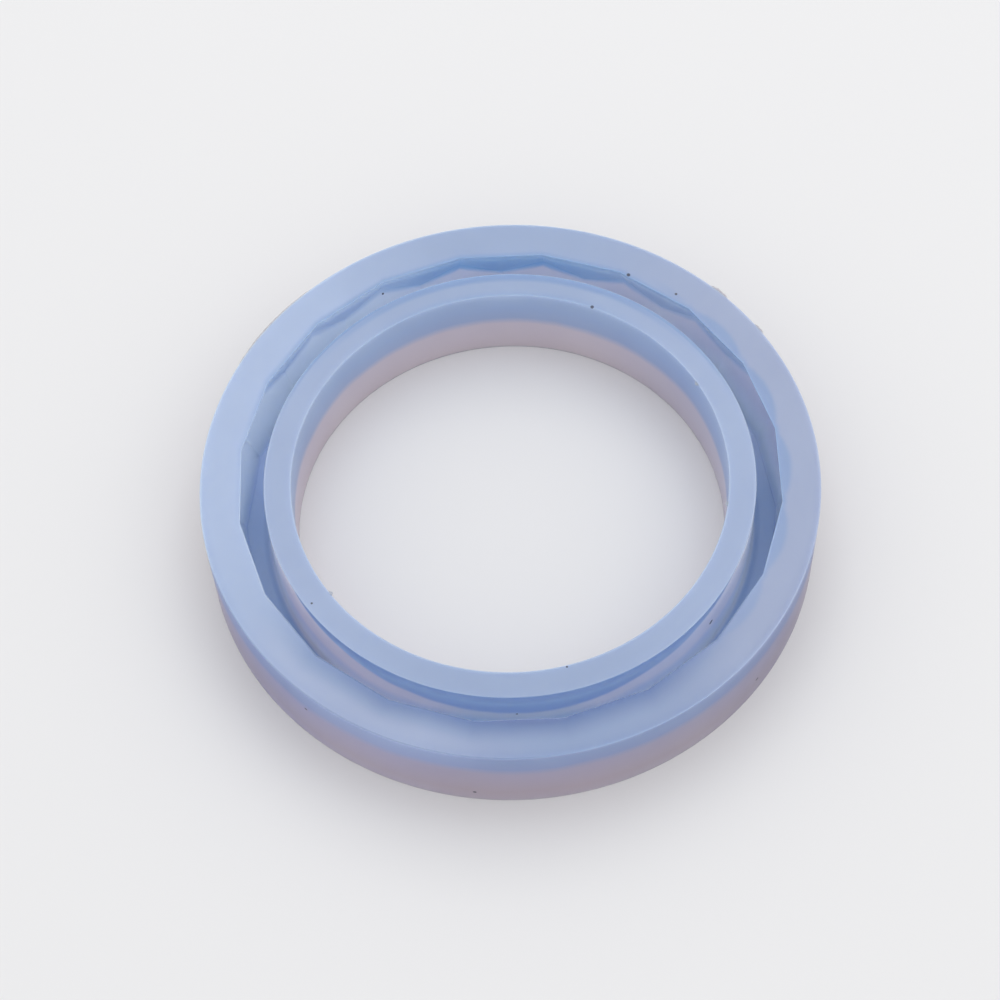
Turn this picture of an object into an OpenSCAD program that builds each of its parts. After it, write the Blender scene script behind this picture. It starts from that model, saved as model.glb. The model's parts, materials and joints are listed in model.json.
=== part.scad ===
// Bangle casting mould: a soft ring with a faceted channel that is open at the top.
// Millimetres, +Z up. The origin is the middle of the base, on the surface that it stands on.

/* [Inner wall] */
// Inside diameter of the bangle that the channel casts
bangle_inside_d = 63.5; // [50:0.5:80]
// Thickness of the inner wall, from the hole to the channel
inner_wall_t = 3.5; // [2:0.1:6]

/* [Channel] */
// Width of the channel's mouth, from the inner wall to a facet corner
mouth_w = 3.35; // [2.5:0.05:6]
// How far the girdle's corners lie outside the mouth's corners
girdle_undercut = 1.9; // [0.6:0.1:3]
// Depth of the channel, which is the width of the bangle
channel_depth = 10.8; // [8:0.1:20]
// Height from the girdle's low corners up to its high corners
girdle_zigzag = 2.6; // [0.6:0.1:5]
// Facets in each of the two rows, above and below the girdle
facet_count = 20; // [14:1:36]

/* [Outer wall] */
// Thickness of the outer wall behind the girdle's corners
outer_wall_t = 3; // [1.5:0.1:6]
// Thickness of the floor under the channel
floor_t = 1.6; // [1:0.1:4]

/* [Flash] */
// How far the flash fins stand out from the outer wall
flash_reach = 0.4; // [0.2:0.05:0.8]
// Thickness of the flash fins where they leave the outer wall
flash_t = 0.3; // [0.2:0.05:0.6]

/* [Hidden] */
$fn = 180;

// Radii, worked outwards from the bangle's inside
core_r = bangle_inside_d / 2;
hole_r = core_r - inner_wall_t;
mouth_r = core_r + mouth_w;
girdle_r = mouth_r + girdle_undercut;
outside_r = girdle_r + outer_wall_t;

// Heights, worked upwards from the base
rim_z = floor_t + channel_depth;
girdle_z = floor_t + channel_depth / 2;
girdle_low_z = girdle_z - girdle_zigzag / 2;
girdle_high_z = girdle_z + girdle_zigzag / 2;

// Angle between neighbouring corners of a facet ring
pitch = 360 / facet_count;
// How far a cutter runs past the face that it opens
run_past = 1;
// Each flash fin's start angle, the angle that it spans and its share of the reach
flash_fins = [[30.5, 3, 0.7], [41, 4.5, 1], [130, 22, 0.55]];

// Rows of the channel cutter's corners, from the lowest to the highest
corner_rows = ["below", "foot", "girdle_low", "girdle_high", "mouth", "above"];

// A ring of corners, turned by a part of the pitch
function corner_ring(radius, turn, z) = [
    for (k = [0 : facet_count - 1])
        [radius * cos((k + turn) * pitch), radius * sin((k + turn) * pitch), z]
];

// The number of one corner in the cutter's list of points
function corner(row, k) =
    search([row], corner_rows)[0] * facet_count + (k + facet_count) % facet_count;

// Four-sided faces between two rows whose corners lie above each other
function upright_faces(low, high) = [
    for (k = [0 : facet_count - 1])
        [corner(low, k), corner(high, k), corner(high, k + 1), corner(low, k + 1)]
];

// Facets under the girdle: one large facet that points up and two slim ones beside it
function lower_facets() = [
    for (k = [0 : facet_count - 1])
        each [
            [corner("foot", k), corner("girdle_high", k), corner("foot", k + 1)],
            [corner("foot", k), corner("girdle_low", k), corner("girdle_high", k)],
            [corner("foot", k), corner("girdle_high", k - 1), corner("girdle_low", k)]
        ]
];

// Facets over the girdle: one large facet that points down and two slim ones beside it
function upper_facets() = [
    for (k = [0 : facet_count - 1])
        each [
            [corner("girdle_low", k), corner("mouth", k - 1), corner("mouth", k)],
            [corner("girdle_low", k), corner("mouth", k), corner("girdle_high", k)],
            [corner("girdle_high", k), corner("mouth", k), corner("girdle_low", k + 1)]
        ]
];

// The faceted space inside the outer wall, run past the rim and the base
module channel_cutter() {
    points = concat(
        corner_ring(mouth_r, 0, -run_past),
        corner_ring(mouth_r, 0, floor_t),
        corner_ring(girdle_r, 0, girdle_low_z),
        corner_ring(girdle_r, 0.5, girdle_high_z),
        corner_ring(mouth_r, 0.5, rim_z),
        corner_ring(mouth_r, 0.5, rim_z + run_past)
    );
    base = [for (k = [0 : facet_count - 1]) corner("below", k)];
    top = [for (k = [facet_count - 1 : -1 : 0]) corner("above", k)];
    faces = concat(
        [base],
        upright_faces("below", "foot"),
        lower_facets(),
        upper_facets(),
        upright_faces("mouth", "above"),
        [top]
    );
    polyhedron(points, faces);
}

// Outer wall: round outside, faceted and undercut towards the channel
module outer_wall() {
    color([0.69, 0.76, 0.88])
    difference() {
        cylinder(h = rim_z, r = outside_r);
        channel_cutter();
    }
}

// Channel floor: the thin web between the two walls
module channel_floor() {
    foot_outline = [for (p = corner_ring(mouth_r, 0, 0)) [p.x, p.y]];
    color([0.72, 0.70, 0.76])
    difference() {
        linear_extrude(floor_t) polygon(foot_outline);
        translate([0, 0, -run_past]) cylinder(h = floor_t + 2 * run_past, r = core_r);
    }
}

// Inner wall: the smooth core round the hole
module inner_wall() {
    color([0.66, 0.74, 0.87])
    difference() {
        cylinder(h = rim_z, r = core_r);
        translate([0, 0, -run_past]) cylinder(h = rim_z + 2 * run_past, r = hole_r);
    }
}

// Rim flash: thin fins left at the top edge of the outer wall
module rim_flash() {
    color([0.80, 0.82, 0.90])
    for (fin = flash_fins)
        rotate([0, 0, fin[0]])
        rotate_extrude(angle = fin[1])
        polygon([
            [outside_r, rim_z - flash_t],
            [outside_r + fin[2] * flash_reach, rim_z],
            [outside_r, rim_z]
        ]);
}

outer_wall();
channel_floor();
inner_wall();
rim_flash();
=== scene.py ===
"""Dresses the bangle casting mould: one milky, translucent silicone ring and the flash on its rims."""

import json
import logging
import math
import random
from dataclasses import dataclass, field, replace
from enum import Enum
from functools import reduce
from typing import Any, Callable, Union

import bmesh
import bpy
from mathutils import Matrix, Vector


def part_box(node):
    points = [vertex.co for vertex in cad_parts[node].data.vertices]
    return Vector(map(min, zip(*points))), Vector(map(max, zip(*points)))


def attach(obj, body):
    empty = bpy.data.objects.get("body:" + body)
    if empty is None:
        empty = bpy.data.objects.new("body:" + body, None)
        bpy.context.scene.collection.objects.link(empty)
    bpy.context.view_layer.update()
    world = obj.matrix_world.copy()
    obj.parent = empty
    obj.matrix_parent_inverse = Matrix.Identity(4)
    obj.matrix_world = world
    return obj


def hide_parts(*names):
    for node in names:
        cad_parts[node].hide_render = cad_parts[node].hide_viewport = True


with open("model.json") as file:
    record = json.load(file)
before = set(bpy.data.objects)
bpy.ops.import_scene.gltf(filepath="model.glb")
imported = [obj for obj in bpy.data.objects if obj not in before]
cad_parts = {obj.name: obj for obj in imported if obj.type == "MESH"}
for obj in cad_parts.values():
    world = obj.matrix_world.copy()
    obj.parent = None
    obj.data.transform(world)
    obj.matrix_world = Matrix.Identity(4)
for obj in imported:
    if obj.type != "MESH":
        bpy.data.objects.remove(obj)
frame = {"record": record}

MM = 0.001
BODY = "root"
LOG = logging.getLogger("mould")

# Corners that lie closer than this are the same corner
SAME_PLACE = 0.001 * MM
# How far a corner may lie off the ring that it belongs to
RING_SLACK = 0.01 * MM
# The middle of a noise's range
MIDDLE = 0.5
# Directions round the axis in degrees, as seen from the front
RIGHT, FAR, LEFT, NEAR = 0.0, 90.0, 180.0, 270.0

Number = Union[int, float]
Colour = tuple[float, float, float]
Stops = tuple[tuple[float, Colour], ...]
Operand = Union["Value", Number, tuple]

# Channel sides that don't show from the front are paler, so that they light the sides across from them
UNSEEN_COLOUR: Colour = (0.78, 0.87, 0.985)


@dataclass(frozen=True)
class MouldSizes:
    """The mould's sizes in metres, taken from the frame wherever it gives them."""

    hole_r: float
    core_r: float
    mouth_r: float
    outside_r: float
    floor_t: float
    rim_z: float
    girdle_undercut: float = 1.9 * MM
    girdle_zigzag: float = 2.6 * MM
    facet_count: int = 20

    @classmethod
    def from_frame(cls, record: dict[str, Any]) -> "MouldSizes":
        """Reads the sizes from the CAD nodes' boxes and the hole's mount.

        Args:
            record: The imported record.

        Returns:
            The sizes.
        """
        hole = next(mount for mount in record["mounts"] if mount["name"] == "hole")
        wall_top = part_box("outer_wall")[1]
        floor_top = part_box("channel_floor")[1]
        return cls(
            hole_r=hole["dims"]["r_mm"] * MM,
            core_r=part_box("inner_wall")[1].x,
            mouth_r=floor_top.x,
            outside_r=wall_top.x,
            floor_t=floor_top.z,
            rim_z=wall_top.z,
        )

    def in_millimetres(self) -> "MouldSizes":
        """Gives the same sizes in millimetres."""
        lengths = {name: size / MM for name, size in vars(self).items() if name != "facet_count"}
        return replace(self, **lengths)

    @property
    def half_pitch(self) -> float:
        """Half the angle between neighbouring corners of a facet ring, in radians."""
        return math.pi / self.facet_count

    @property
    def mouth_flat_r(self) -> float:
        """Distance from the axis to the middle of one of the mouth's straight edges."""
        return self.mouth_r * math.cos(self.half_pitch)

    @property
    def girdle_r(self) -> float:
        """Radius of the girdle's corners, where the channel is widest."""
        return self.mouth_r + self.girdle_undercut

    @property
    def girdle_low_z(self) -> float:
        """Height of the girdle's low corners."""
        return (self.floor_t + self.rim_z - self.girdle_zigzag) / 2


class Pick(Enum):
    """What a pick in edit mode takes."""

    VERTS = "VERT"
    EDGES = "EDGE"


class Shape:
    """A mesh that is shaped in edit mode, with its corners and edges picked by place."""

    def __init__(self, name: str) -> None:
        """Remembers the name that the finished piece gets."""
        self.name = name
        self.thing: bpy.types.Object | None = None

    def _take_new(self) -> None:
        """Takes the primitive that was just added, with its place put into its mesh."""
        self.thing = bpy.context.active_object
        self.thing.name = self.name
        self.thing.data.name = self.name
        bpy.ops.object.transform_apply(location=True, rotation=True, scale=True)
        self.edit()
        bpy.ops.mesh.select_all(action="SELECT")

    def _select_alone(self) -> None:
        """Selects this shape's object and nothing else."""
        bpy.ops.object.select_all(action="DESELECT")
        self.thing.select_set(True)
        bpy.context.view_layer.objects.active = self.thing

    def start_ring(self, corners: int, radius: float, height: float) -> None:
        """Starts from a level ring of edges round the axis.

        Args:
            corners: How many corners the ring has.
            radius: The corners' distance from the axis.
            height: The ring's height.
        """
        bpy.ops.object.select_all(action="DESELECT")
        bpy.ops.mesh.primitive_circle_add(vertices=corners, radius=radius, location=(0, 0, height))
        self._take_new()

    def start_upright_triangle(self, size: float, place: Vector, turn: float) -> None:
        """Starts from a filled triangle that stands upright, in a plane through the axis.

        Args:
            size: Distance from the triangle's middle to its corners.
            place: Where its middle is.
            turn: Angle of its plane round the axis, in radians.
        """
        bpy.ops.object.select_all(action="DESELECT")
        upright = Matrix.Rotation(turn, 4, "Z") @ Matrix.Rotation(math.pi / 2, 4, "X")
        bpy.ops.mesh.primitive_circle_add(
            vertices=3, radius=size, fill_type="NGON", location=place, rotation=upright.to_euler()
        )
        self._take_new()

    def edit(self) -> None:
        """Opens the mesh for editing, with nothing else selected."""
        self._select_alone()
        bpy.ops.object.mode_set(mode="EDIT")

    def leave(self) -> None:
        """Closes the mesh."""
        bpy.ops.object.mode_set(mode="OBJECT")

    def pick(self, kind: Pick, test: Callable[[Any], bool]) -> None:
        """Selects the corners or edges that pass a test, and nothing else.

        Args:
            kind: What is selected.
            test: Says whether one corner or edge is wanted.
        """
        bpy.ops.mesh.select_mode(type=kind.value)
        bpy.ops.mesh.select_all(action="DESELECT")
        mesh = bmesh.from_edit_mesh(self.thing.data)
        for item in mesh.verts if kind is Pick.VERTS else mesh.edges:
            if test(item):
                item.select_set(True)
        mesh.select_flush_mode()
        bmesh.update_edit_mesh(self.thing.data)

    def widen(self, factor: float) -> None:
        """Scales what is selected away from the axis."""
        bpy.ops.transform.resize(value=(factor, factor, 1), center_override=(0, 0, 0))

    def follow(self, profile: list[tuple[float, float]]) -> None:
        """Extrudes the selected ring along a profile.

        Args:
            profile: Radius and height of each ring, the first one being the ring that is there.
        """
        for (old_r, old_z), (new_r, new_z) in zip(profile, profile[1:]):
            bpy.ops.mesh.extrude_region_move(TRANSFORM_OT_translate={"value": (0, 0, new_z - old_z)})
            self.widen(new_r / old_r)

    def absorb(self, other: "Shape") -> None:
        """Joins another shape into this one.

        Args:
            other: The shape that is taken in.
        """
        self._select_alone()
        other.thing.select_set(True)
        bpy.ops.object.join()

    def close_up(self) -> None:
        """Merges doubled corners and turns all faces outwards."""
        self.edit()
        bpy.ops.mesh.select_all(action="SELECT")
        bpy.ops.mesh.remove_doubles(threshold=SAME_PLACE)
        bpy.ops.mesh.normals_make_consistent(inside=False)
        self.leave()

    def smooth(self) -> None:
        """Shades the mesh smooth, with the large faces keeping their own direction."""
        self._select_alone()
        bpy.ops.object.shade_smooth()
        weigh = self.thing.modifiers.new("large_faces_lead", "WEIGHTED_NORMAL")
        weigh.mode = "FACE_AREA"
        bpy.ops.object.modifier_apply(modifier=weigh.name)


def radius_of(corner: bmesh.types.BMVert) -> float:
    """Distance of a corner from the axis."""
    return math.hypot(corner.co.x, corner.co.y)


def azimuth_of(place: Vector) -> float:
    """Angle of a place round the axis, from +X, in radians."""
    return math.atan2(place.y, place.x)


def on_ring(corner: bmesh.types.BMVert, low_r: float, high_r: float, height: float) -> bool:
    """Says whether a corner lies on a level ring.

    Args:
        corner: The corner.
        low_r: The ring's least radius.
        high_r: The ring's greatest radius.
        height: The ring's height.

    Returns:
        True if it lies there, within the slack.
    """
    level = abs(corner.co.z - height) < RING_SLACK
    return level and low_r - RING_SLACK < radius_of(corner) < high_r + RING_SLACK


@dataclass(frozen=True)
class Ramp:
    """A soft rise from 0 to 1: where it is still 0, and where it has reached 1, which may lie lower."""

    none_at: float
    full_at: float

    def moved(self, distance: float) -> "Ramp":
        """Gives the same rise, further along by a distance."""
        return Ramp(self.none_at + distance, self.full_at + distance)


class Value:
    """A number or colour that varies over a surface; operators on numbers add Math nodes."""

    def __init__(self, bench: "NodeBench", socket: bpy.types.NodeSocket | None) -> None:
        """Keeps the bench that adds nodes, and the socket that gives the value."""
        self.bench = bench
        self.socket = socket

    def math(self, operation: str, *others: Operand) -> "Value":
        """Adds one Math node that starts from this value."""
        return self.bench.math(operation, self, *others)

    def __add__(self, other: Operand) -> "Value":
        """Adds another value."""
        return self.math("ADD", other)

    def __radd__(self, other: Operand) -> "Value":
        """Is added to a number."""
        return self.math("ADD", other)

    def __sub__(self, other: Operand) -> "Value":
        """Takes another value away."""
        return self.math("SUBTRACT", other)

    def __rsub__(self, other: Operand) -> "Value":
        """Is taken away from a number."""
        return self.bench.math("SUBTRACT", other, self)

    def __mul__(self, other: Operand) -> "Value":
        """Multiplies by another value."""
        return self.math("MULTIPLY", other)

    def __rmul__(self, other: Operand) -> "Value":
        """Multiplies a number."""
        return self.math("MULTIPLY", other)

    def __truediv__(self, other: Operand) -> "Value":
        """Divides by another value."""
        return self.math("DIVIDE", other)

    def __rtruediv__(self, other: Operand) -> "Value":
        """Divides a number."""
        return self.bench.math("DIVIDE", other, self)

    def most(self, other: Operand) -> "Value":
        """Takes the greater of two values."""
        return self.math("MAXIMUM", other)

    def ease(self, ramp: Ramp) -> "Value":
        """Follows a ramp, from 0 where it starts to 1 where it is full."""
        inputs = {"Value": self, "From Min": ramp.none_at, "From Max": ramp.full_at}
        return self.bench.node("ShaderNodeMapRange", {"interpolation_type": "SMOOTHSTEP"}, inputs)


def opaque(colour: Union[Value, Colour]) -> Operand:
    """Gives a plain colour the alpha that a colour socket needs."""
    return colour if isinstance(colour, Value) else (*colour, 1.0)


class NodeBench:
    """Adds and links the nodes of one material or world."""

    MIX_FACTOR, MIX_FIRST, MIX_SECOND, MIX_RESULT = 0, 6, 7, 2

    def __init__(self, tree: bpy.types.NodeTree) -> None:
        """Clears the tree that the nodes go into."""
        self.tree = tree
        tree.nodes.clear()

    def node(
        self,
        kind: str,
        settings: dict[str, Any] | None = None,
        inputs: dict[Union[str, int], Operand] | None = None,
        output: Union[str, int] = 0,
    ) -> Value:
        """Adds one node.

        Args:
            kind: The node's type.
            settings: Its own settings, where "stops" gives a ramp's places and colours.
            inputs: A number, colour or link for each socket that is set.
            output: The output that is wanted.

        Returns:
            That output.
        """
        made = self.tree.nodes.new(kind)
        for name, setting in (settings or {}).items():
            if name == "stops":
                self._set_stops(made.color_ramp, setting)
            else:
                setattr(made, name, setting)
        for name, given in (inputs or {}).items():
            if isinstance(given, Value):
                self.tree.links.new(given.socket, made.inputs[name])
            else:
                made.inputs[name].default_value = given
        return Value(self, made.outputs[output] if len(made.outputs) else None)

    @staticmethod
    def _set_stops(ramp: bpy.types.ColorRamp, stops: Stops) -> None:
        """Gives a colour ramp its stops.

        Args:
            ramp: The colour ramp.
            stops: Places and colours, from the lowest place to the highest.
        """
        while len(ramp.elements) < len(stops):
            ramp.elements.new(1.0)
        for element, (place, colour) in zip(ramp.elements, stops):
            element.position = place
            element.color = opaque(colour)

    def math(self, operation: str, *operands: Operand) -> Value:
        """Adds one Math node."""
        return self.node("ShaderNodeMath", {"operation": operation}, dict(enumerate(operands)))

    def mix(
        self, share: Operand, first: Union[Value, Colour], second: Union[Value, Colour], blend: str = "MIX"
    ) -> Value:
        """Mixes two colours.

        Args:
            share: How much of the second colour shows.
            first: The first colour.
            second: The second colour.
            blend: How the second colour acts on the first.

        Returns:
            The mixed colour.
        """
        inputs = {self.MIX_FACTOR: share, self.MIX_FIRST: opaque(first), self.MIX_SECOND: opaque(second)}
        settings = {"data_type": "RGBA", "blend_type": blend}
        return self.node("ShaderNodeMix", settings, inputs, self.MIX_RESULT)

    def noise(self, place: Value, scale: float, detail: float = 2.0) -> Value:
        """Adds smooth noise from 0 to 1, with so many bumps to a unit and so many finer layers."""
        return self.node("ShaderNodeTexNoise", None, {"Vector": place, "Scale": scale, "Detail": detail})


@dataclass(frozen=True)
class Spot:
    """Where a point of the surface lies and which way it faces; lengths are in millimetres."""

    CLOUD_SCALE = 0.12

    place: Value
    x: Value
    y: Value
    z: Value
    radius: Value
    sideways: Value
    to_far: Value
    upward: Value
    cloud: Value

    @classmethod
    def read(cls, bench: NodeBench) -> "Spot":
        """Adds the nodes that read a point's place.

        Args:
            bench: Adds the nodes.

        Returns:
            The point.
        """
        metres = bench.node("ShaderNodeTexCoord", None, None, "Object")
        place = bench.node("ShaderNodeVectorMath", {"operation": "SCALE"}, {0: metres, "Scale": 1 / MM})
        x, y, z = (bench.node("ShaderNodeSeparateXYZ", None, {0: place}, axis) for axis in "XYZ")
        facing = bench.node("ShaderNodeNewGeometry", None, None, "Normal")
        upward = bench.node("ShaderNodeSeparateXYZ", None, {0: facing}, "Z")
        radius = (x * x + y * y).math("SQRT")
        cloud = bench.noise(place, cls.CLOUD_SCALE)
        return cls(place, x, y, z, radius, x / radius, y / radius, upward, cloud)

    @property
    def bench(self) -> NodeBench:
        """The bench that adds the nodes."""
        return self.place.bench

    def towards(self, azimuth: float) -> Value:
        """Gives the cosine of a point's angle from a direction: 1 there, and -1 opposite it."""
        turn = math.radians(azimuth)
        return self.sideways * math.cos(turn) + self.to_far * math.sin(turn)

    def fold(self, half_pitch: float) -> Value:
        """Gives a point's angle from the middle of the nearest large facet, in radians."""
        return self.y.math("ARCTAN2", self.x).math("WRAP", half_pitch, -half_pitch)


@dataclass(frozen=True)
class Sector:
    """A stretch of the ring: the direction that it centres on, in degrees, and its rise towards there.

    The rise follows the cosine of the angle from the centre: 1 is the centre, and 0 a quarter turn away.
    """

    azimuth: float
    none_at: float
    full_at: float

    def share(self, spot: Spot) -> Value:
        """Gives the share of a point that belongs to the stretch."""
        return spot.towards(self.azimuth).ease(Ramp(self.none_at, self.full_at))


@dataclass(frozen=True)
class Flanks:
    """The ring's left and right stretches alike, with one rise from the middle towards both."""

    none_at: float
    full_at: float

    def share(self, spot: Spot) -> Value:
        """Gives the share of a point that belongs to the flanks."""
        return spot.sideways.math("ABSOLUTE").ease(Ramp(self.none_at, self.full_at))


@dataclass(frozen=True)
class Tint:
    """A colour that multiplies a wall's paint: its stretch, one that it keeps within, and its heights."""

    colour: Colour
    stretch: Union[Sector, Flanks]
    within: Sector | None = None
    rise: Ramp | None = None

    def over(self, spot: Spot, paint: Value) -> Value:
        """Lays the tint over a paint.

        Args:
            spot: The point.
            paint: The colour there.

        Returns:
            The tinted colour.
        """
        share = self.stretch.share(spot)
        if self.within:
            share = share * self.within.share(spot)
        if self.rise:
            share = share * spot.z.ease(self.rise)
        return spot.bench.mix(share, paint, self.colour, "MULTIPLY")


@dataclass(frozen=True)
class HeightPaint:
    """Colours up a wall: stops are heights in millimetres with linear colours, and tints go over them."""

    stops: Stops
    tints: tuple[Tint, ...] = ()

    def lay(self, spot: Spot, height: Value, full_height: float) -> Value:
        """Paints a wall by height.

        Args:
            spot: The point.
            height: Its height in millimetres, which may be made a little uneven.
            full_height: Height of the whole mould, in millimetres.

        Returns:
            The colour.
        """
        shares = [(place / full_height, colour) for place, colour in self.stops]
        paint = spot.bench.node("ShaderNodeValToRGB", {"stops": shares}, {"Fac": height / full_height})
        return reduce(lambda laid, tint: tint.over(spot, laid), self.tints, paint)


@dataclass(frozen=True)
class EdgeMark:
    """A mark along an edge, used for painted shade and sheen: its rise across the rim in millimetres, its
    stretches and its strength.
    """

    across: Ramp
    stretches: tuple[Sector, ...]
    strength: float = 1.0

    def share(self, spot: Spot, distance: Value) -> Value:
        """Gives the share of a point that belongs to the mark.

        Args:
            spot: The point.
            distance: How far it lies outside the edge.

        Returns:
            The share.
        """
        share = distance.ease(self.across)
        for stretch in self.stretches:
            share = share * stretch.share(spot)
        return share * self.strength


@dataclass(frozen=True)
class Speck:
    """One speck of dust: its angle round the axis in degrees, and its radius and height in millimetres."""

    SOLID_SHARE = 0.7

    azimuth: float
    radius: float
    height: float
    size: float = 0.22

    def share(self, spot: Spot) -> Value:
        """Gives the share of a point that the speck covers.

        Args:
            spot: The point.

        Returns:
            The share.
        """
        turn = math.radians(self.azimuth)
        place = (self.radius * math.cos(turn), self.radius * math.sin(turn), self.height)
        inputs = {0: spot.place, 1: place}
        distance = spot.bench.node("ShaderNodeVectorMath", {"operation": "DISTANCE"}, inputs, "Value")
        return distance.ease(Ramp(self.size, self.size * self.SOLID_SHARE))


@dataclass(frozen=True)
class CorePaint:
    """The core's side of the channel, with painted light and shade by height and side, and a band of
    deeper blue painted shade under the near rim.
    """

    sizes: MouldSizes
    # Painted light and shade: lighter at the foot against the crease's shade, warmer at the left, lighter
    # and bluer at the right, darker at the front and back
    wall: HeightPaint = HeightPaint(
        stops=(
            (1.6, (0.775, 0.82, 0.91)),
            (3.0, (0.72, 0.785, 0.91)),
            (5.5, (0.64, 0.695, 0.855)),
            (7.1, (0.755, 0.74, 0.825)),
            (12.4, (0.64, 0.65, 0.755)),
        ),
        tints=(
            Tint((1.1, 1.0, 0.96), Sector(LEFT, 0.2, 0.7)),
            Tint((1.05, 1.06, 1.09), Sector(RIGHT, 0.2, 0.7)),
            Tint((0.87, 0.94, 0.95), Flanks(0.35, 0.15)),
        ),
    )
    # Painted shade in a band under the near rim, reaching further down towards the front and darkest at
    # the top
    band: HeightPaint = HeightPaint((
        (8.0, (0.42, 0.515, 0.745)),
        (10.5, (0.40, 0.515, 0.715)),
        (12.4, (0.155, 0.24, 0.475)),
    ))
    band_start: float = 0.45
    band_growth: float = 8.0
    band_blur: Ramp = Ramp(0.4, -0.5)
    far_side: Sector = Sector(FAR, -0.25, 0.0)
    flanks: Flanks = Flanks(0.87, 0.98)
    flank_share: float = 0.6

    def lay(self, spot: Spot, height: Value) -> Value:
        """Paints the core's side.

        Args:
            spot: The point.
            height: Its height, made a little uneven.

        Returns:
            The colour.
        """
        top_z = self.sizes.rim_z
        wall = self.wall.lay(spot, height, top_z)
        unseen = (self.flanks.share(spot) * self.flank_share).most(self.far_side.share(spot))
        wall = spot.bench.mix(unseen, wall, UNSEEN_COLOUR)
        # The band of painted shade under the near rim
        band_reach = (spot.towards(NEAR) - self.band_start) * self.band_growth
        in_band = (top_z - height - band_reach).ease(self.band_blur)
        return spot.bench.mix(in_band, wall, self.band.lay(spot, height, top_z))


@dataclass(frozen=True)
class FacetPaint:
    """The channel's outer wall: overhanging facets above the girdle in painted shade, and lit ones below
    it, with painted light at the foot and at the left.

    Heights in under_lip and unseen_depth count from the rim.
    """

    sizes: MouldSizes
    # Painted light at the foot against the crease's shade, and painted shade at the right
    ledge: HeightPaint = HeightPaint(
        stops=(
            (1.6, (0.86, 0.915, 1.0)),
            (2.6, (0.785, 0.855, 0.98)),
            (5.5, (0.665, 0.675, 0.77)),
            (8.3, (0.665, 0.65, 0.74)),
        ),
        tints=(Tint((0.92, 0.94, 0.99), Sector(RIGHT, 0.6, 0.95)),),
    )
    # Painted shade on the overhanging facets, paler at the left and right and darkest just under the lip
    overhang_colour: Colour = (0.38, 0.53, 0.73)
    overhang_flank_colour: Colour = (0.485, 0.565, 0.71)
    overhang_top_colour: Colour = (0.21, 0.325, 0.53)
    # Painted light on the facets at the left
    lit_colour: Colour = (0.735, 0.83, 1.0)
    flanks: Flanks = Flanks(0.15, 0.6)
    under_lip: Ramp = Ramp(-1.8, 0.0)
    lit: Sector = Sector(LEFT, 0.0, 0.6)
    lit_share: float = 0.85
    most_lit: Sector = Sector(LEFT, 0.85, 0.98)
    overhang_lit_share: float = 0.35
    overhang_most_lit_share: float = 0.55
    girdle_follow: float = 0.8
    girdle_blur: Ramp = Ramp(-0.5, 0.2)
    near_side: Sector = Sector(NEAR, 0.2, 0.45)
    unseen_depth: Ramp = Ramp(-1.0, -2.5)

    def lay(self, spot: Spot) -> Value:
        """Paints the facets.

        Args:
            spot: The point.

        Returns:
            The colour.
        """
        bench = spot.bench
        facets = bench.mix(self.above_girdle(spot), self.lit_ledge(spot), self.overhang(spot))
        unseen = self.near_side.share(spot) * spot.z.ease(self.unseen_depth.moved(self.sizes.rim_z))
        return bench.mix(unseen, facets, UNSEEN_COLOUR)

    def above_girdle(self, spot: Spot) -> Value:
        """Gives the share of a point that lies above the zigzag girdle.

        Args:
            spot: The point.

        Returns:
            The share.
        """
        sizes = self.sizes
        steepness = sizes.girdle_zigzag / sizes.half_pitch * self.girdle_follow
        rise = spot.fold(sizes.half_pitch).math("ABSOLUTE") * steepness
        return (spot.z - rise - sizes.girdle_low_z).ease(self.girdle_blur)

    def lit_ledge(self, spot: Spot) -> Value:
        """Paints the facets below the girdle, with painted light at the left."""
        ledge = self.ledge.lay(spot, spot.z, self.sizes.rim_z)
        return spot.bench.mix(self.lit.share(spot) * self.lit_share, ledge, self.lit_colour)

    def overhang(self, spot: Spot) -> Value:
        """Paints the facets above the girdle in painted shade, with part of the painted light at the left.

        Args:
            spot: The point.

        Returns:
            The colour.
        """
        bench = spot.bench
        overhang = bench.mix(self.flanks.share(spot), self.overhang_colour, self.overhang_flank_colour)
        under_lip = spot.z.ease(self.under_lip.moved(self.sizes.rim_z))
        # Painted shade, darkest just under the lip
        overhang = bench.mix(under_lip, overhang, self.overhang_top_colour)
        strength = self.most_lit.share(spot) * self.overhang_most_lit_share + self.overhang_lit_share
        return bench.mix(self.lit.share(spot) * self.lit_share * strength, overhang, self.lit_colour)


@dataclass(frozen=True)
class BedPaint:
    """The channel's floor in painted shade, warmer at the left, and with painted light where the core
    hides it from the front.
    """

    # Painted shade on the floor, warmer at the left
    colour: Colour = (0.45, 0.585, 0.78)
    left_colour: Colour = (0.485, 0.605, 0.765)
    # Painted light where the core hides the floor from the front
    light_colour: Colour = (0.675, 0.775, 0.94)
    left: Sector = Sector(LEFT, 0.9, 0.99)
    light: Sector = Sector(FAR, 0.0, 0.35)
    unseen: Sector = Sector(FAR, 0.35, 0.6)

    def lay(self, spot: Spot) -> Value:
        """Paints the floor.

        Args:
            spot: The point.

        Returns:
            The colour.
        """
        bed = spot.bench.mix(self.left.share(spot), self.colour, self.left_colour)
        bed = spot.bench.mix(self.light.share(spot), bed, self.light_colour)
        return spot.bench.mix(self.unseen.share(spot), bed, UNSEEN_COLOUR)


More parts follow.
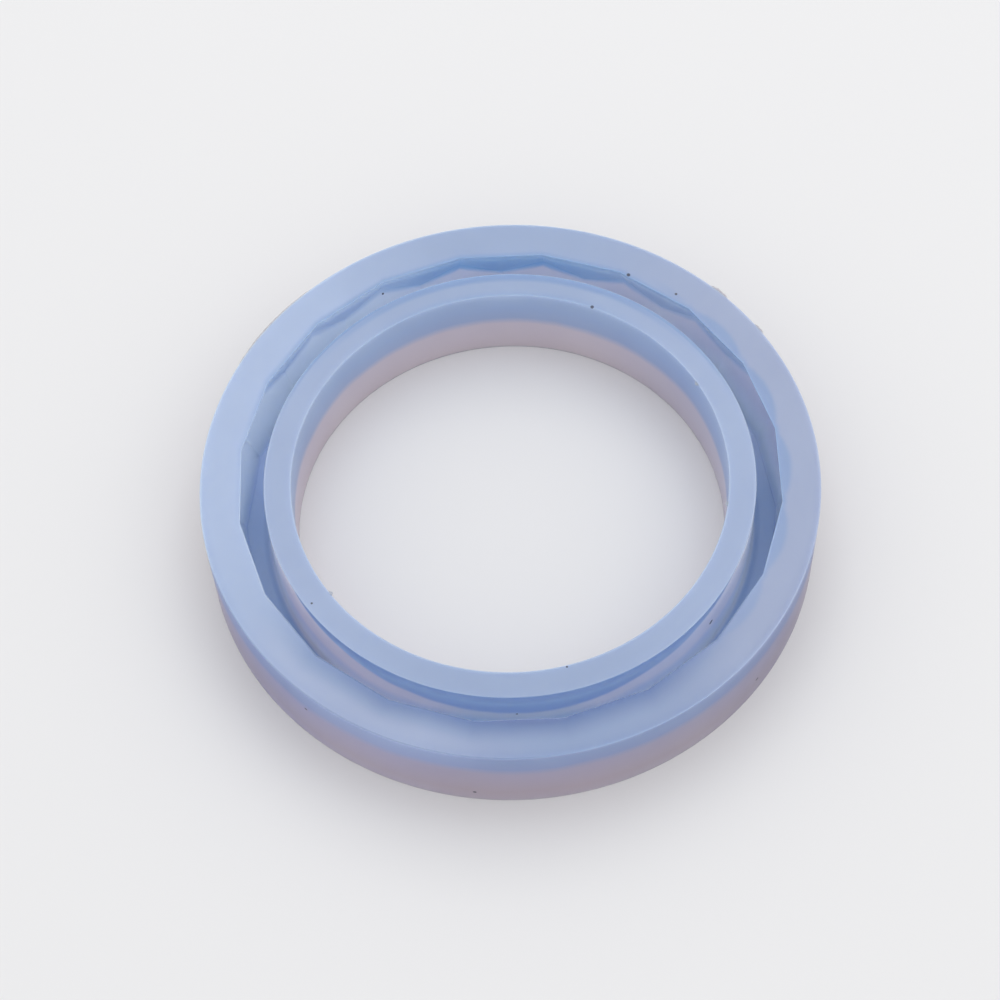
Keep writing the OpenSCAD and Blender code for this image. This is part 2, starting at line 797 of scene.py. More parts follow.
@dataclass(frozen=True)
class RimPaint:
    """The level rims, with painted light and shade that change round the ring, a painted sheen at the near
    left, painted shade along edges, and bluer painted shade where the channel shows through the thin
    silicone beside or over it.

    Distances across the outer rim count from the mouth's straight edges, and from the rim's outside edge
    for the two marks that are named for it.
    """

    sizes: MouldSizes
    colour: Colour = (0.34, 0.427, 0.61)
    # Painted light and shade round the outer rim: lighter at the left, greyer at the right
    left_colour: Colour = (0.44, 0.535, 0.725)
    right_colour: Colour = (0.372, 0.432, 0.595)
    # A lighter painted sheen across the outer part of the rim at the near left
    sheen_colour: Colour = (0.385, 0.455, 0.63)
    # Painted light on the core's rim at the left and right
    inner_colour: Colour = (0.38, 0.465, 0.65)
    # Bluer painted shade where the channel shows through the thin silicone, and at the far hole edge
    blue_shade_colour: Colour = (0.25, 0.36, 0.585)
    # Painted shade on the near lip and along the front of the outside edge
    lip_colour: Colour = (0.13, 0.205, 0.415)
    # Painted shade along the near mouth edge and the near-left outside edge
    edge_shade_colour: Colour = (0.05, 0.09, 0.21)
    # A blotchy painted shadow just outside the middle of the near mouth
    mouth_shadow_colour: Colour = (0.155, 0.215, 0.41)
    outer_start: Ramp = Ramp(-1.0, -0.2)
    # Where the painted sheen at the near left lies
    near_left_sheen: EdgeMark = EdgeMark(Ramp(1.0, 3.0), (Sector(240, 0.8, 0.96),))
    left: Sector = Sector(165, 0.35, 1.0)
    right: Sector = Sector(RIGHT, 0.2, 0.9)
    inner_flanks: Flanks = Flanks(0.2, 0.9)
    # How strongly the bluer painted shade shows through the lip round the ring, strongest towards the far
    # right and faint at the near left
    clear: Sector = Sector(60, -1.1, 0.5)
    clear_share: float = 0.88
    # The bluer painted shade through the lip: a fringe along the mouth, and bows of the overhanging facets
    # at the right
    fringe: Ramp = Ramp(0.9, 0.0)
    bow_width: float = 1.65
    bow_blur: Ramp = Ramp(0.45, -0.45)
    bows: Sector = Sector(RIGHT, 0.5, 0.8)
    bow_share: float = 0.8
    # Bluer painted shade in strips along the core's edge and softly at the hole's edge, on the far side
    wide_strip: EdgeMark = EdgeMark(Ramp(-1.5, -0.7), (Sector(FAR, 0.5, 1.0),))
    slim_strip: EdgeMark = EdgeMark(Ramp(-0.7, -0.3), (Sector(FAR, 0.2, 0.7),))
    hole_edge: EdgeMark = EdgeMark(Ramp(1.2, 0.0), (Sector(FAR, 0.6, 1.0),), 0.4)
    slope_width: float = 3.4
    slope_power: float = 1.4
    slope: Sector = Sector(267, 0.47, 0.97)
    slope_share: float = 0.86
    tail: Sector = Sector(283, 0.84, 0.97)
    tail_share: float = 0.2
    outside_shade: EdgeMark = EdgeMark(Ramp(-1.4, -0.2), (Sector(NEAR, -0.2, 0.4),), 0.1)
    # Where the painted shade along the edges lies
    mouth_edge_shade: EdgeMark = EdgeMark(Ramp(0.3, 0.05), (Sector(NEAR, 0.35, 0.7),), 0.65)
    outside_edge_shade: EdgeMark = EdgeMark(
        Ramp(-0.22, -0.08), (Sector(NEAR, 0.2, 0.5), Sector(LEFT, -0.3, 0.1)), 0.35
    )
    # Where the blotchy painted shadow outside the near mouth lies
    mouth_shadow: EdgeMark = EdgeMark(Ramp(1.6, 0.6), (Sector(271, 0.983, 0.996),), 0.7)

    def lay(self, spot: Spot) -> Value:
        """Paints the rims.

        Args:
            spot: The point.

        Returns:
            The colour.
        """
        bench = spot.bench
        outward = self.outward(spot)
        on_outer = outward.ease(self.outer_start)
        from_outside = spot.radius - self.sizes.outside_r
        colour = bench.mix(on_outer, self.inner_rim(spot), self.outer_rim(spot, outward))
        # Bluer painted shade where the channel shows through thin silicone
        colour = bench.mix(self.blue_shade(spot, outward, on_outer), colour, self.blue_shade_colour)
        shade = self.near_shade(spot, outward) + self.outside_shade.share(spot, from_outside)
        colour = bench.mix(on_outer * shade, colour, self.lip_colour)
        # Painted shade along the edges
        mouth_edge_shade = on_outer * self.mouth_edge_shade.share(spot, outward)
        edges = mouth_edge_shade.most(self.outside_edge_shade.share(spot, from_outside))
        colour = bench.mix(edges, colour, self.edge_shade_colour)
        # The blotchy painted shadow just outside the near mouth
        mouth_shadow = on_outer * self.mouth_shadow.share(spot, outward + spot.cloud)
        return bench.mix(mouth_shadow, colour, self.mouth_shadow_colour)

    def outward(self, spot: Spot) -> Value:
        """Gives how far a point lies outside the nearest straight edge of the mouth."""
        return spot.radius * spot.fold(self.sizes.half_pitch).math("COSINE") - self.sizes.mouth_flat_r

    def inner_rim(self, spot: Spot) -> Value:
        """Paints the rim of the core, lighter at the left and right as painted light."""
        return spot.bench.mix(self.inner_flanks.share(spot), self.colour, self.inner_colour)

    def outer_rim(self, spot: Spot, outward: Value) -> Value:
        """Paints the rim of the outer wall, with painted light at the left, greyer at the right, and a
        painted sheen at the near left.

        Args:
            spot: The point.
            outward: How far it lies outside the mouth.

        Returns:
            The colour.
        """
        outer = spot.bench.mix(self.near_left_sheen.share(spot, outward), self.colour, self.sheen_colour)
        outer = spot.bench.mix(self.left.share(spot), outer, self.left_colour)
        return spot.bench.mix(self.right.share(spot), outer, self.right_colour)

    def blue_shade(self, spot: Spot, outward: Value, on_outer: Value) -> Value:
        """Gives the share of a point that takes the bluer painted shade: where the channel shows through
        the thin silicone beside or over it, and softly at the far hole edge.

        Args:
            spot: The point.
            outward: How far it lies outside the mouth.
            on_outer: The share of it that belongs to the outer rim.

        Returns:
            The share.
        """
        bows = self.bow(spot, outward) * self.bows.share(spot) * self.bow_share
        lip = on_outer * bows.most(outward.ease(self.fringe)) * self.clear.share(spot) * self.clear_share
        from_core = spot.radius - self.sizes.core_r
        strip = self.wide_strip.share(spot, from_core).most(self.slim_strip.share(spot, from_core))
        hole_edge = self.hole_edge.share(spot, spot.radius - self.sizes.hole_r)
        return lip + (1 - on_outer) * strip + hole_edge

    def bow(self, spot: Spot, outward: Value) -> Value:
        """Paints the shade of the large overhanging facets as if seen through the lip above them, as bows
        on the mouth's edges.

        Args:
            spot: The point.
            outward: How far it lies outside the mouth.

        Returns:
            1 inside the bows and 0 outside them.
        """
        from_middle = spot.fold(self.sizes.half_pitch) / self.sizes.half_pitch
        bow = (1 - from_middle * from_middle) * self.bow_width
        return (outward - bow).ease(self.bow_blur)

    def near_shade(self, spot: Spot, outward: Value) -> Value:
        """Shades the near lip, most at the mouth, with a fainter tail to the right.

        Args:
            spot: The point.
            outward: How far it lies outside the mouth.

        Returns:
            The strength of the shade.
        """
        slope = (1 - outward / self.slope_width).most(0.0).math("POWER", self.slope_power)
        return self.slope.share(spot) * slope * self.slope_share + self.tail.share(spot) * self.tail_share


@dataclass(frozen=True)
class SiliconeFinish:
    """Milky silicone, painted bluish where light falls on it and warm low down, where light comes through.

    Colours are linear, and sizes and places on the surface are in millimetres. Light spreads a short way
    under the outer faces, and a long way between the walls of the channel. Heights in rim_level count
    from the rim, and those in over_floor and facet_foot from the channel's floor.
    """

    sizes: MouldSizes
    name: str = "milky_silicone"
    hole_wall: HeightPaint = HeightPaint(
        stops=(
            (0.0, (0.615, 0.545, 0.585)),
            (5.7, (0.60, 0.545, 0.62)),
            (7.1, (0.345, 0.435, 0.65)),
            (9.5, (0.35, 0.465, 0.70)),
            (11.3, (0.38, 0.50, 0.72)),
            (12.4, (0.45, 0.56, 0.76)),
        ),
        # Painted shade on the hole's wall at the left, and more at the right
        tints=(
            Tint((0.93, 0.92, 0.94), Sector(LEFT, 0.8, 0.95)),
            Tint((0.87, 0.91, 0.99), Sector(RIGHT, 0.35, 0.95)),
        ),
    )
    outer_side: HeightPaint = HeightPaint(
        # Painted light: bluish high up, warm low down, and lighter at the very foot against the floor's
        # shade
        stops=(
            (0.0, (0.445, 0.40, 0.48)),
            (2.5, (0.405, 0.345, 0.41)),
            (7.8, (0.365, 0.335, 0.46)),
            (9.3, (0.245, 0.31, 0.525)),
            (11.5, (0.255, 0.335, 0.555)),
            (12.4, (0.295, 0.37, 0.585)),
        ),
        tints=(
            # Painted shade on the left and right sides, in the front half
            Tint((0.75, 0.80, 0.95), Sector(LEFT, 0.5, 0.88), within=Sector(NEAR, -0.05, 0.5)),
            Tint((0.74, 0.75, 0.84), Sector(RIGHT, 0.5, 0.88), within=Sector(NEAR, -0.05, 0.5)),
            # Slight painted shade on the right half
            Tint((0.93, 0.95, 0.96), Sector(RIGHT, 0.15, 0.5)),
            # A painted highlight along the top edge at the right, in the front half
            Tint((1.3, 1.22, 1.14), Sector(RIGHT, 0.5, 0.8), Sector(NEAR, -0.05, 0.5), Ramp(10.5, 12.2)),
            # Painted light, bluer, low down at the front left
            Tint((1.0, 1.03, 1.09), Sector(235, 0.9, 1.0), rise=Ramp(9.0, 8.0)),
            # A painted glow high up at the front left
            Tint((1.18, 1.15, 1.13), Sector(245, 0.93, 1.0), rise=Ramp(7.5, 9.5)),
        ),
    )
    base_colour: Colour = (0.52, 0.50, 0.56)
    base_edge: Ramp = Ramp(0.3, 0.05)
    # Painted shade on the thin outward flash
    flash_shade_colour: Colour = (0.24, 0.22, 0.34)
    flash_start: Ramp = Ramp(0.0, 0.1)
    wall_sway: float = 1.2
    cloud_shades: Stops = ((0.3, (0.96, 0.96, 0.97)), (0.7, (1.0, 1.0, 1.0)))
    seam_blur: Ramp = Ramp(-0.2, 0.2)
    rim_facing: Ramp = Ramp(0.15, 0.5)
    rim_level: Ramp = Ramp(-1.2, -0.6)
    over_floor: Ramp = Ramp(0.2, 1.0)
    bed_facing: Ramp = Ramp(0.5, 0.9)
    bed_inner_gap: float = 0.5
    bed_outer_gap: float = 0.3
    # Half the floor's painted shade carried onto the facets' foot, except at the back, to blur the crease
    facet_foot: Ramp = Ramp(3.0, 0.2)
    facet_foot_shown: Sector = Sector(NEAR, -0.65, -0.4)
    facet_foot_share: float = 0.5
    speck_colour: Colour = (0.05, 0.05, 0.08)
    speck_share: float = 0.9
    dust: tuple[Speck, ...] = (
        Speck(60.9, 35.2, 12.4, 0.30),
        Speck(49.5, 35.9, 12.4),
        Speck(65.1, 28.4, 12.4, 0.28),
        Speck(282.4, 28.5, 12.4, 0.16),
        Speck(214.6, 30.9, 12.4, 0.17),
        Speck(228.5, 40.0, 7.8, 0.28),
        Speck(261.5, 40.0, 2.1, 0.28),
        Speck(319.2, 40.0, 3.4, 0.32),
        Speck(321.1, 31.75, 7.6, 0.42),
        Speck(269.5, 31.75, 7.7, 0.18),
        Speck(116.5, 36.6, 7.4),
    )
    roughness: float = 0.38
    gloss_scale: float = 0.35
    gloss_detail: float = 3.0
    gloss_spread: float = 0.1
    swell_scale: float = 0.2
    swell_height: float = 0.7
    pore_scale: float = 6.0
    pore_detail: float = 3.0
    pore_height: float = 0.05
    grain_strength: float = 0.25
    grain_depth: float = 0.1 * MM
    skin_scatter: float = 1.2 * MM
    channel_scatter: float = 9.0 * MM
    scatter_shares: Colour = (1.0, 1.0, 1.0)
    silicone_ior: float = 1.41

    def make(self) -> bpy.types.Material:
        """Builds the material.

        Returns:
            The material.
        """
        material = bpy.data.materials.new(self.name)
        material.use_nodes = True
        bench = NodeBench(material.node_tree)
        spot = Spot.read(bench)
        shared = {
            "Base Color": self.paint(spot),
            "Roughness": self.gloss(spot),
            "Normal": self.grain(spot),
            "IOR": self.silicone_ior,
            "Subsurface Weight": 1.0,
            "Subsurface Radius": self.scatter_shares,
        }
        skin, glow = (
            bench.node(
                "ShaderNodeBsdfPrincipled",
                {"subsurface_method": "RANDOM_WALK"},
                shared | {"Subsurface Scale": length},
            )
            for length in (self.skin_scatter, self.channel_scatter)
        )
        mixed = bench.node("ShaderNodeMixShader", None, {0: self.in_channel(spot), 1: skin, 2: glow})
        bench.node("ShaderNodeOutputMaterial", None, {"Surface": mixed})
        return material

    def past_seam(self, spot: Spot, inner_r: float, outer_r: float) -> Value:
        """Gives the share of a point that lies past the middle between two radii."""
        return spot.radius.ease(self.seam_blur.moved((inner_r + outer_r) / 2))

    def past_core(self, spot: Spot) -> Value:
        """Gives the share of a point that lies outside the middle of the inner wall."""
        return self.past_seam(spot, self.sizes.hole_r, self.sizes.core_r)

    def past_girdle(self, spot: Spot) -> Value:
        """Gives the share of a point that lies outside the channel's widest place."""
        return self.past_seam(spot, self.sizes.girdle_r, self.sizes.outside_r)

    def on_top(self, spot: Spot) -> Value:
        """Gives the share of a point that belongs to the level rims."""
        return spot.upward.ease(self.rim_facing) * spot.z.ease(self.rim_level.moved(self.sizes.rim_z))

    def in_channel(self, spot: Spot) -> Value:
        """Gives the share of a point that lies inside the channel, from 0 on the outer faces to 1."""
        above_base = spot.z.ease(self.over_floor.moved(self.sizes.floor_t))
        return self.past_core(spot) * (1 - self.past_girdle(spot)) * above_base * (1 - self.on_top(spot))

    def paint(self, spot: Spot) -> Value:
        """Paints the zones of the casting.

        Args:
            spot: The point.

        Returns:
            The colour.
        """
        bench, sizes = spot.bench, self.sizes
        height = spot.z + (spot.cloud - MIDDLE) * self.wall_sway
        zones = self.hole_wall.lay(spot, height, sizes.rim_z)
        zones = bench.mix(self.past_core(spot), zones, CorePaint(sizes).lay(spot, height))
        past_bed = spot.radius.ease(self.past_bed)
        zones = bench.mix(past_bed, zones, FacetPaint(sizes).lay(spot))
        # The facets' foot takes half the floor's painted shade
        low_down = spot.z.ease(self.facet_foot.moved(sizes.floor_t))
        facet_foot = past_bed * low_down * self.facet_foot_shown.share(spot)
        on_bed = spot.upward.ease(self.bed_facing).most(facet_foot * self.facet_foot_share)
        zones = bench.mix(on_bed, zones, BedPaint().lay(spot))
        zones = bench.mix(self.past_girdle(spot), zones, self.outer_side.lay(spot, height, sizes.rim_z))
        zones = bench.mix(self.on_top(spot), zones, RimPaint(sizes).lay(spot))
        zones = bench.mix(spot.z.ease(self.base_edge), zones, self.base_colour)
        # Painted shade on the flash outside the rim
        on_flash = spot.radius.ease(self.flash_start.moved(sizes.outside_r))
        zones = bench.mix(on_flash, zones, self.flash_shade_colour)
        clouds = bench.node("ShaderNodeValToRGB", {"stops": self.cloud_shades}, {"Fac": spot.cloud})
        clouded = bench.mix(1.0, zones, clouds, "MULTIPLY")
        return bench.mix(self.specks(spot), clouded, self.speck_colour)

    @property
    def past_bed(self) -> Ramp:
        """The rise across the channel's floor, from the core to the facets."""
        return Ramp(self.sizes.core_r + self.bed_inner_gap, self.sizes.mouth_flat_r - self.bed_outer_gap)

    def specks(self, spot: Spot) -> Value:
        """Lays the few tiny specks of dust."""
        return reduce(Value.most, [speck.share(spot) for speck in self.dust]) * self.speck_share

    def gloss(self, spot: Spot) -> Value:
        """Varies the roughness a little."""
        noise = spot.bench.noise(spot.place, self.gloss_scale, self.gloss_detail)
        return (noise - MIDDLE) * self.gloss_spread + self.roughness

    def grain(self, spot: Spot) -> Value:
        """Bends the normal by the faint unevenness of a moulded surface.

        Args:
            spot: The point.

        Returns:
            The bent normal.
        """
        swell = spot.bench.noise(spot.place, self.swell_scale) * self.swell_height
        pores = spot.bench.noise(spot.place, self.pore_scale, self.pore_detail) * self.pore_height
        inputs = {"Height": swell + pores, "Strength": self.grain_strength, "Distance": self.grain_depth}
        return spot.bench.node("ShaderNodeBump", None, inputs)


@dataclass(frozen=True)
class FloorFinish:
    """A plain pale studio floor."""

    name: str = "pale_floor"
    colour: Colour = (0.80, 0.80, 0.81)
    roughness: float = 0.9

    def make(self) -> bpy.types.Material:
        """Builds the material.

        Returns:
            The material.
        """
        material = bpy.data.materials.new(self.name)
        material.use_nodes = True
        bench = NodeBench(material.node_tree)
        inputs = {"Base Color": opaque(self.colour), "Roughness": self.roughness}
        shader = bench.node("ShaderNodeBsdfPrincipled", None, inputs)
        bench.node("ShaderNodeOutputMaterial", None, {"Surface": shader})
        return material


@dataclass
class CastPiece:
    """A piece of cast silicone: the mould's sizes, its own name and the CAD nodes that it stands for."""

    sizes: MouldSizes
    name: str = ""
    stands_for: tuple[str, ...] = ()

    def build(self) -> bpy.types.Object:
        """Models the piece."""
        raise NotImplementedError(self.name)

    def dress(self, thing: bpy.types.Object, silicone: bpy.types.Material) -> None:
        """Gives the piece its finish and ties it to the frame.

        Args:
            thing: The finished object.
            silicone: Its material.
        """
        thing.data.materials.append(silicone)
        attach(thing, BODY)
        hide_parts(*self.stands_for)


@dataclass
class MouldBody(CastPiece):
    """The casting itself: outer wall, channel floor and inner wall in one closed skin."""

    name: str = "mould_body"
    stands_for: tuple[str, ...] = ("outer_wall", "channel_floor", "inner_wall")
    round_steps: int = 240
    edge_round: float = 0.1 * MM
    edge_segments: int = 3
    foot_round: float = 1.2 * MM
    foot_steps: int = 6
    sharp_angle: float = math.radians(4)

    def build(self) -> bpy.types.Object:
        """Models the casting.

        Returns:
            The finished object.
        """
        body = self._faceted_wall()
        body.absorb(self._round_walls())
        self._close_rims(body)
        body.close_up()
        self._round_edges(body)
        body.smooth()
        return body.thing

    @property
    def bed_r(self) -> float:
        """Radius where the channel's level bed ends and the core's rounded foot starts."""
        return self.sizes.core_r + self.foot_round

    def _on_foot(self, corner: bmesh.types.BMVert) -> bool:
        """Says whether a corner lies on the rounded foot of the core.

        Args:
            corner: The corner.

        Returns:
            True if it lies there.
        """
        low_z = self.sizes.floor_t
        margin = self.edge_round / 2
        beside = self.sizes.core_r - margin < radius_of(corner) < self.bed_r + margin
        return beside and low_z - margin < corner.co.z < low_z + self.foot_round + margin

    def _corner_turn(self, corner: bmesh.types.BMVert) -> int:
        """Counts a corner's place round its ring in half pitches."""
        return round(azimuth_of(corner.co) / self.sizes.half_pitch)

    def _faceted_wall(self) -> Shape:
        """Models the undercut facets between the mouth and the foot.

        Returns:
            The open band of facets.
        """
        sizes = self.sizes
        mouth = (sizes.mouth_r, sizes.rim_z)
        girdle = (sizes.girdle_r, sizes.girdle_low_z)
        foot = (sizes.mouth_r, sizes.floor_t)
        wall = Shape(self.name)
        wall.start_ring(2 * sizes.facet_count, *mouth)
        wall.follow([mouth, girdle, foot])
        shrink = math.cos(sizes.half_pitch)
        wall.pick(Pick.VERTS, lambda v: on_ring(v, mouth[0], *mouth) and self._corner_turn(v) % 2 == 0)
        wall.widen(shrink)
        wall.pick(Pick.VERTS, lambda v: on_ring(v, foot[0], *foot) and self._corner_turn(v) % 2 == 1)
        wall.widen(shrink)
        wall.pick(Pick.VERTS, lambda v: on_ring(v, girdle[0], *girdle) and self._corner_turn(v) % 2 == 1)
        bpy.ops.transform.translate(value=(0, 0, sizes.girdle_zigzag))
        bpy.ops.mesh.select_all(action="SELECT")
        bpy.ops.mesh.quads_convert_to_tris(quad_method="LONGEST_DIAGONAL")
        self._divide_ends(wall)
        wall.leave()
        return wall

    def _divide_ends(self, wall: Shape) -> None:
        """Divides the facet band's two open ends as finely as the round walls.

        Args:
            wall: The band of facets.
        """
        cuts = self.round_steps // (2 * self.sizes.facet_count) - 1
        for height in (self.sizes.rim_z, self.sizes.floor_t):
            wall.pick(Pick.EDGES, lambda e: self._on_polygon(e, height))
            bpy.ops.mesh.subdivide(number_cuts=cuts)

    def _on_polygon(self, edge: bmesh.types.BMEdge, height: float) -> bool:
        """Says whether an edge lies on the mouth's or the foot's outline."""
        sizes = self.sizes
        return all(on_ring(v, sizes.mouth_flat_r, sizes.mouth_r, height) for v in edge.verts)

    def _foot_profile(self) -> list[tuple[float, float]]:
        """Works out the core's rounded foot, from the channel's bed up to the core's side.

        Returns:
            Radius and height of each of its rings.
        """
        turns = [math.pi / 2 * step / self.foot_steps for step in range(self.foot_steps + 1)]
        low_z = self.sizes.floor_t
        return [
            (self.bed_r - self.foot_round * math.sin(turn), low_z + self.foot_round * (1 - math.cos(turn)))
            for turn in turns
        ]

    def _round_walls(self) -> Shape:
        """Models the round faces, from the channel's foot over the inner wall and round to the outer rim.

        Returns:
            The open round skin.
        """
        sizes = self.sizes
        walls = Shape("round_walls")
        walls.start_ring(self.round_steps, self.bed_r, sizes.floor_t)
        walls.follow(self._foot_profile() + [
            (sizes.core_r, sizes.rim_z),
            (sizes.hole_r, sizes.rim_z),
            (sizes.hole_r, 0),
            (sizes.outside_r, 0),
            (sizes.outside_r, sizes.rim_z),
        ])
        walls.leave()
        return walls

    def _close_rims(self, body: Shape) -> None:
        """Fills the level faces between facets and round walls, at the rim and on the channel's floor.

        Args:
            body: The casting, still open there.
        """
        sizes = self.sizes
        body.edit()
        for round_r, height in ((sizes.outside_r, sizes.rim_z), (self.bed_r, sizes.floor_t)):
            body.pick(
                Pick.EDGES,
                lambda e: self._on_polygon(e, height)
                or all(on_ring(v, round_r, round_r, height) for v in e.verts),
            )
            bpy.ops.mesh.fill(use_beauty=True)
        body.leave()

    def _is_sharp(self, edge: bmesh.types.BMEdge) -> bool:
        """Says whether two faces meet at an angle on an edge, away from the core's rounded foot."""
        on_foot = all(self._on_foot(v) for v in edge.verts)
        return edge.calc_face_angle(0.0) > self.sharp_angle and not on_foot

    def _round_edges(self, body: Shape) -> None:
        """Rounds every sharp edge a little.

        Args:
            body: The closed casting.
        """
        body.edit()
        body.pick(Pick.EDGES, self._is_sharp)
        bpy.ops.mesh.bevel(
            offset=self.edge_round, segments=self.edge_segments, affect="EDGES", clamp_overlap=True
        )
        body.leave()


class FlashSide(Enum):
    """Which way a fin of flash stands out from its edge."""

    OUTWARD = 1
    INWARD = -1


@dataclass(frozen=True)
class Fin:
    """One fin of flash: its first angle and its span in degrees, and its reach in metres."""

    start: float
    span: float
    reach: float
    side: FlashSide


@dataclass
class RimFlash(CastPiece):
    """Thin torn fins of silicone that the casting left along its top edges.

    A fin's tip and root lie below the rim by tip_drop and root_drop of its thickness, and up to torn_share
    of its reach is missing at each part of the tip.
    """

    name: str = "flash_fins"
    stands_for: tuple[str, ...] = ("rim_flash",)
    thickness: float = 0.3 * MM
    tip_drop: float = 1 / 3
    root_drop: float = 1 / 6
    sink: float = 0.35 * MM
    step_angle: float = 0.5
    least_steps: int = 4
    torn_share: float = 0.3
    seed: int = 7
    fins: list[Fin] = field(default_factory=lambda: [
        Fin(30.5, 3.0, 0.28 * MM, FlashSide.OUTWARD),
        Fin(41.0, 4.5, 0.40 * MM, FlashSide.OUTWARD),
        Fin(130.0, 22.0, 0.22 * MM, FlashSide.OUTWARD),
        Fin(214.2, 1.6, 0.40 * MM, FlashSide.INWARD),
        Fin(348.0, 1.6, 0.35 * MM, FlashSide.INWARD),
        Fin(26.5, 1.6, 0.35 * MM, FlashSide.INWARD),
    ])

    def build(self) -> bpy.types.Object:
        """Models all the fins as one piece.

        Returns:
            The finished object.
        """
        chance = random.Random(self.seed)
        shapes = [self._fin(fin, chance) for fin in self.fins]
        flash = shapes[0]
        for other in shapes[1:]:
            flash.absorb(other)
        flash.close_up()
        flash.smooth()
        return flash.thing

    def _fin(self, fin: Fin, chance: random.Random) -> Shape:
        """Models one fin: a slim wedge swept along its edge, with a torn tip.

        Args:
            fin: Its place and size.
            chance: Draws how far each part of the tip was torn back.

        Returns:
            The closed fin.
        """
        away = fin.side.value
        edge_r = self.sizes.outside_r if fin.side is FlashSide.OUTWARD else self.sizes.hole_r
        top_z = self.sizes.rim_z
        start = math.radians(fin.start)
        corners = [
            (edge_r - away * self.sink, top_z - self.thickness),
            (edge_r + away * fin.reach, top_z - self.thickness * self.tip_drop),
            (edge_r - away * self.sink, top_z - self.thickness * self.root_drop),
        ]
        shape = Shape(self.name)
        middle = Vector((edge_r * math.cos(start), edge_r * math.sin(start), top_z))
        shape.start_upright_triangle(self.thickness, middle, start)
        self._set_profile(shape, corners, start)
        bpy.ops.mesh.select_all(action="SELECT")
        steps = max(self.least_steps, round(fin.span / self.step_angle))
        bpy.ops.mesh.spin(steps=steps, angle=-math.radians(fin.span), center=(0, 0, 0), axis=(0, 0, 1))
        self._tear_tip(shape, fin, edge_r, chance)
        shape.leave()
        return shape

    @staticmethod
    def _set_profile(shape: Shape, corners: list[tuple[float, float]], turn: float) -> None:
        """Moves the triangle's corners to the fin's profile.

        Args:
            shape: The triangle.
            corners: Radius and height of each corner.
            turn: Angle of the profile round the axis, in radians.
        """
        for number, (radius, height) in enumerate(corners):
            mesh = bmesh.from_edit_mesh(shape.thing.data)
            mesh.verts.ensure_lookup_table()
            old = mesh.verts[number].co.copy()
            new = Vector((radius * math.cos(turn), radius * math.sin(turn), height))
            shape.pick(Pick.VERTS, lambda v: v.index == number)
            bpy.ops.transform.translate(value=new - old)

    def _tear_tip(self, shape: Shape, fin: Fin, edge_r: float, chance: random.Random) -> None:
        """Pulls the fin's tip back towards its ends, and unevenly between them.

        Args:
            shape: The swept fin.
            fin: Its place and size.
            edge_r: Radius of the edge that it stands on.
            chance: Draws the unevenness.
        """
        mesh = bmesh.from_edit_mesh(shape.thing.data)
        away = fin.side.value
        tips = [v.co.copy() for v in mesh.verts if away * (radius_of(v) - edge_r) > fin.reach / 2]
        tips.sort(key=lambda co: math.degrees(azimuth_of(co)) % 360)
        for co in tips:
            along = (math.degrees(azimuth_of(co)) % 360 - fin.start) / fin.span
            full = math.sqrt(math.sin(math.pi * min(max(along, 0.0), 1.0)))
            kept = full * (1 - self.torn_share + self.torn_share * chance.random())
            outward = Vector((co.x, co.y, 0)).normalized() * away
            shape.pick(Pick.VERTS, lambda v: (v.co - co).length < SAME_PLACE)
            bpy.ops.transform.translate(value=outward * fin.reach * (kept - 1))


@dataclass(frozen=True)
class Lamp:
    """One soft square lamp, aimed at the mould."""

    name: str
    place: tuple[float, float, float]
    size: float
    power: float
    colour: Colour = (1.0, 1.0, 1.0)

    def hang(self) -> None:
        """Adds the lamp to the scene."""
        bpy.ops.object.light_add(type="AREA", location=self.place)
        lamp = bpy.context.active_object
        lamp.name = self.name
        lamp.rotation_euler = (-Vector(self.place)).to_track_quat("-Z", "Y").to_euler()
        lamp.data.size = self.size
        lamp.data.energy = self.power
        lamp.data.color = self.colour


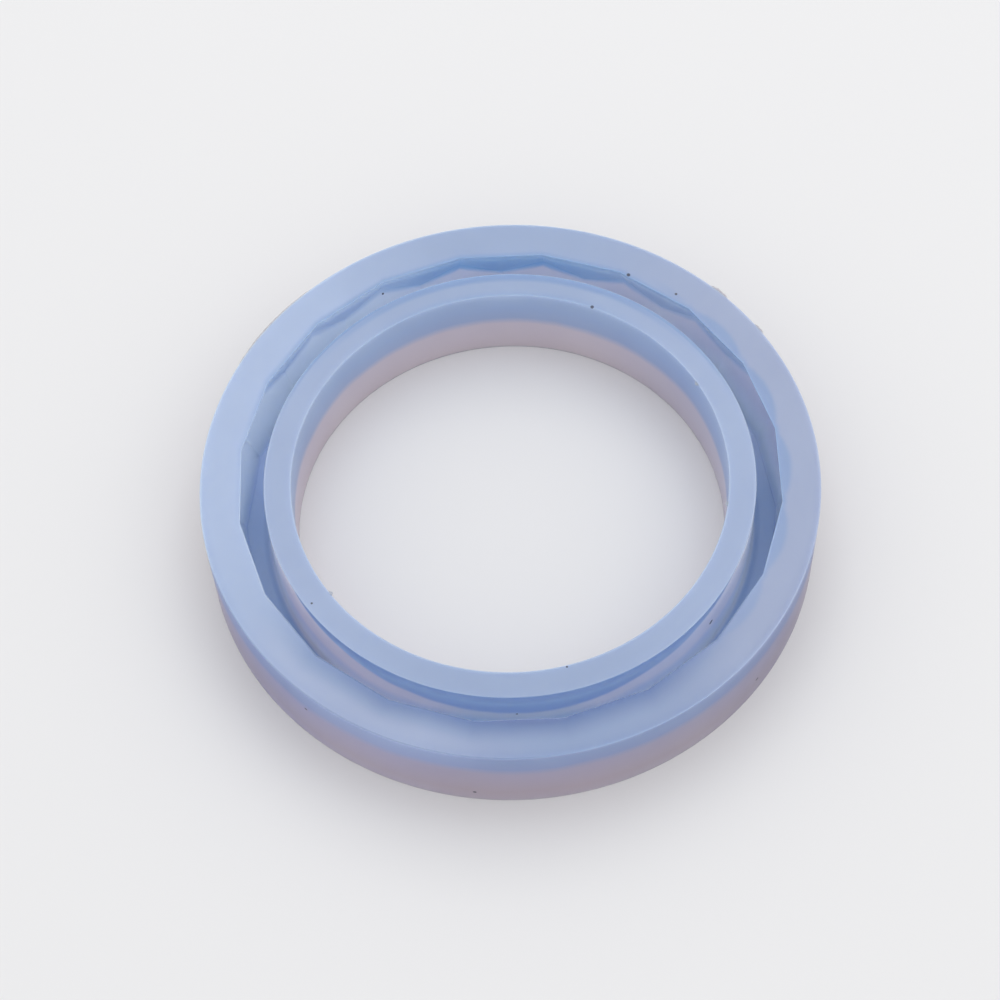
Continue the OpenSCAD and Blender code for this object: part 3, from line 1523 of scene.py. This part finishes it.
@dataclass(frozen=True)
class Viewpoint:
    """The photograph's camera: a long lens that looks down on the mould from in front."""

    lens_mm: float = 91.03
    sensor_mm: float = 36.0
    distance: float = 336.6 * MM
    elevation: float = math.radians(60.159)
    yaw: float = math.radians(-0.473)
    pitch: float = math.radians(-0.534)
    roll: float = math.radians(2.705)
    clip_factor: float = 100.0

    def set_up(self) -> None:
        """Adds the camera and makes it the scene's own."""
        bpy.ops.object.camera_add()
        camera = bpy.context.active_object
        camera.name = "photo_camera"
        camera.data.lens = self.lens_mm
        camera.data.sensor_width = self.sensor_mm
        camera.data.clip_start = self.distance / self.clip_factor
        camera.data.clip_end = self.distance * self.clip_factor
        drop = self.elevation + self.pitch
        look = Vector((
            math.sin(self.yaw) * math.cos(drop),
            math.cos(self.yaw) * math.cos(drop),
            -math.sin(drop),
        ))
        level = look.cross(Vector((0, 0, 1))).normalized()
        down = look.cross(level)
        image_right = level * math.cos(self.roll) + down * math.sin(self.roll)
        image_up = level * math.sin(self.roll) - down * math.cos(self.roll)
        turn = Matrix((image_right, image_up, -look)).transposed().to_4x4()
        place = Vector((0, -math.cos(self.elevation), math.sin(self.elevation))) * self.distance
        camera.matrix_world = Matrix.Translation(place) @ turn
        bpy.context.scene.camera = camera


@dataclass
class Studio:
    """A pale floor, soft lamps and an even surrounding light."""

    floor_r: float = 3.0
    floor_gap: float = 0.02 * MM
    floor_steps: int = 96
    world_colour: Colour = (1.0, 1.0, 1.0)
    world_strength: float = 0.88
    light_bounces: int = 12
    lamps: list[Lamp] = field(default_factory=lambda: [
        Lamp("key_lamp", (0.05, 0.35, 0.70), 0.6, 1.2),
        Lamp("fill_lamp", (0.50, -0.10, 0.80), 0.6, 0.5),
    ])

    def build(self) -> None:
        """Sets up the floor, the light and the colour handling."""
        bpy.context.scene.view_settings.view_transform = "Standard"
        bpy.context.scene.cycles.diffuse_bounces = self.light_bounces
        world = bpy.data.worlds.new("studio_light")
        world.use_nodes = True
        bench = NodeBench(world.node_tree)
        inputs = {"Color": opaque(self.world_colour), "Strength": self.world_strength}
        surround = bench.node("ShaderNodeBackground", None, inputs)
        bench.node("ShaderNodeOutputWorld", None, {"Surface": surround})
        bpy.context.scene.world = world
        for lamp in self.lamps:
            lamp.hang()
        self._lay_floor()

    def _lay_floor(self) -> None:
        """Models the floor: a wide disc."""
        floor = Shape("floor")
        floor.start_ring(self.floor_steps, self.floor_r, -self.floor_gap)
        bpy.ops.mesh.edge_face_add()
        bpy.ops.mesh.normals_make_consistent(inside=False)
        floor.leave()
        floor.thing.data.materials.append(FloorFinish().make())


def main() -> None:
    """Builds the studio and the mould, and reports each piece."""
    logging.basicConfig(level=logging.INFO, format="%(message)s")
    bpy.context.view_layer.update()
    sizes = MouldSizes.from_frame(frame["record"])
    Viewpoint().set_up()
    Studio().build()
    silicone = SiliconeFinish(sizes.in_millimetres()).make()
    for assembly in (MouldBody(sizes), RimFlash(sizes)):
        thing = assembly.build()
        assembly.dress(thing, silicone)
        LOG.info("%s: %d faces", thing.name, len(thing.data.polygons))


if __name__ == "__main__":
    main()
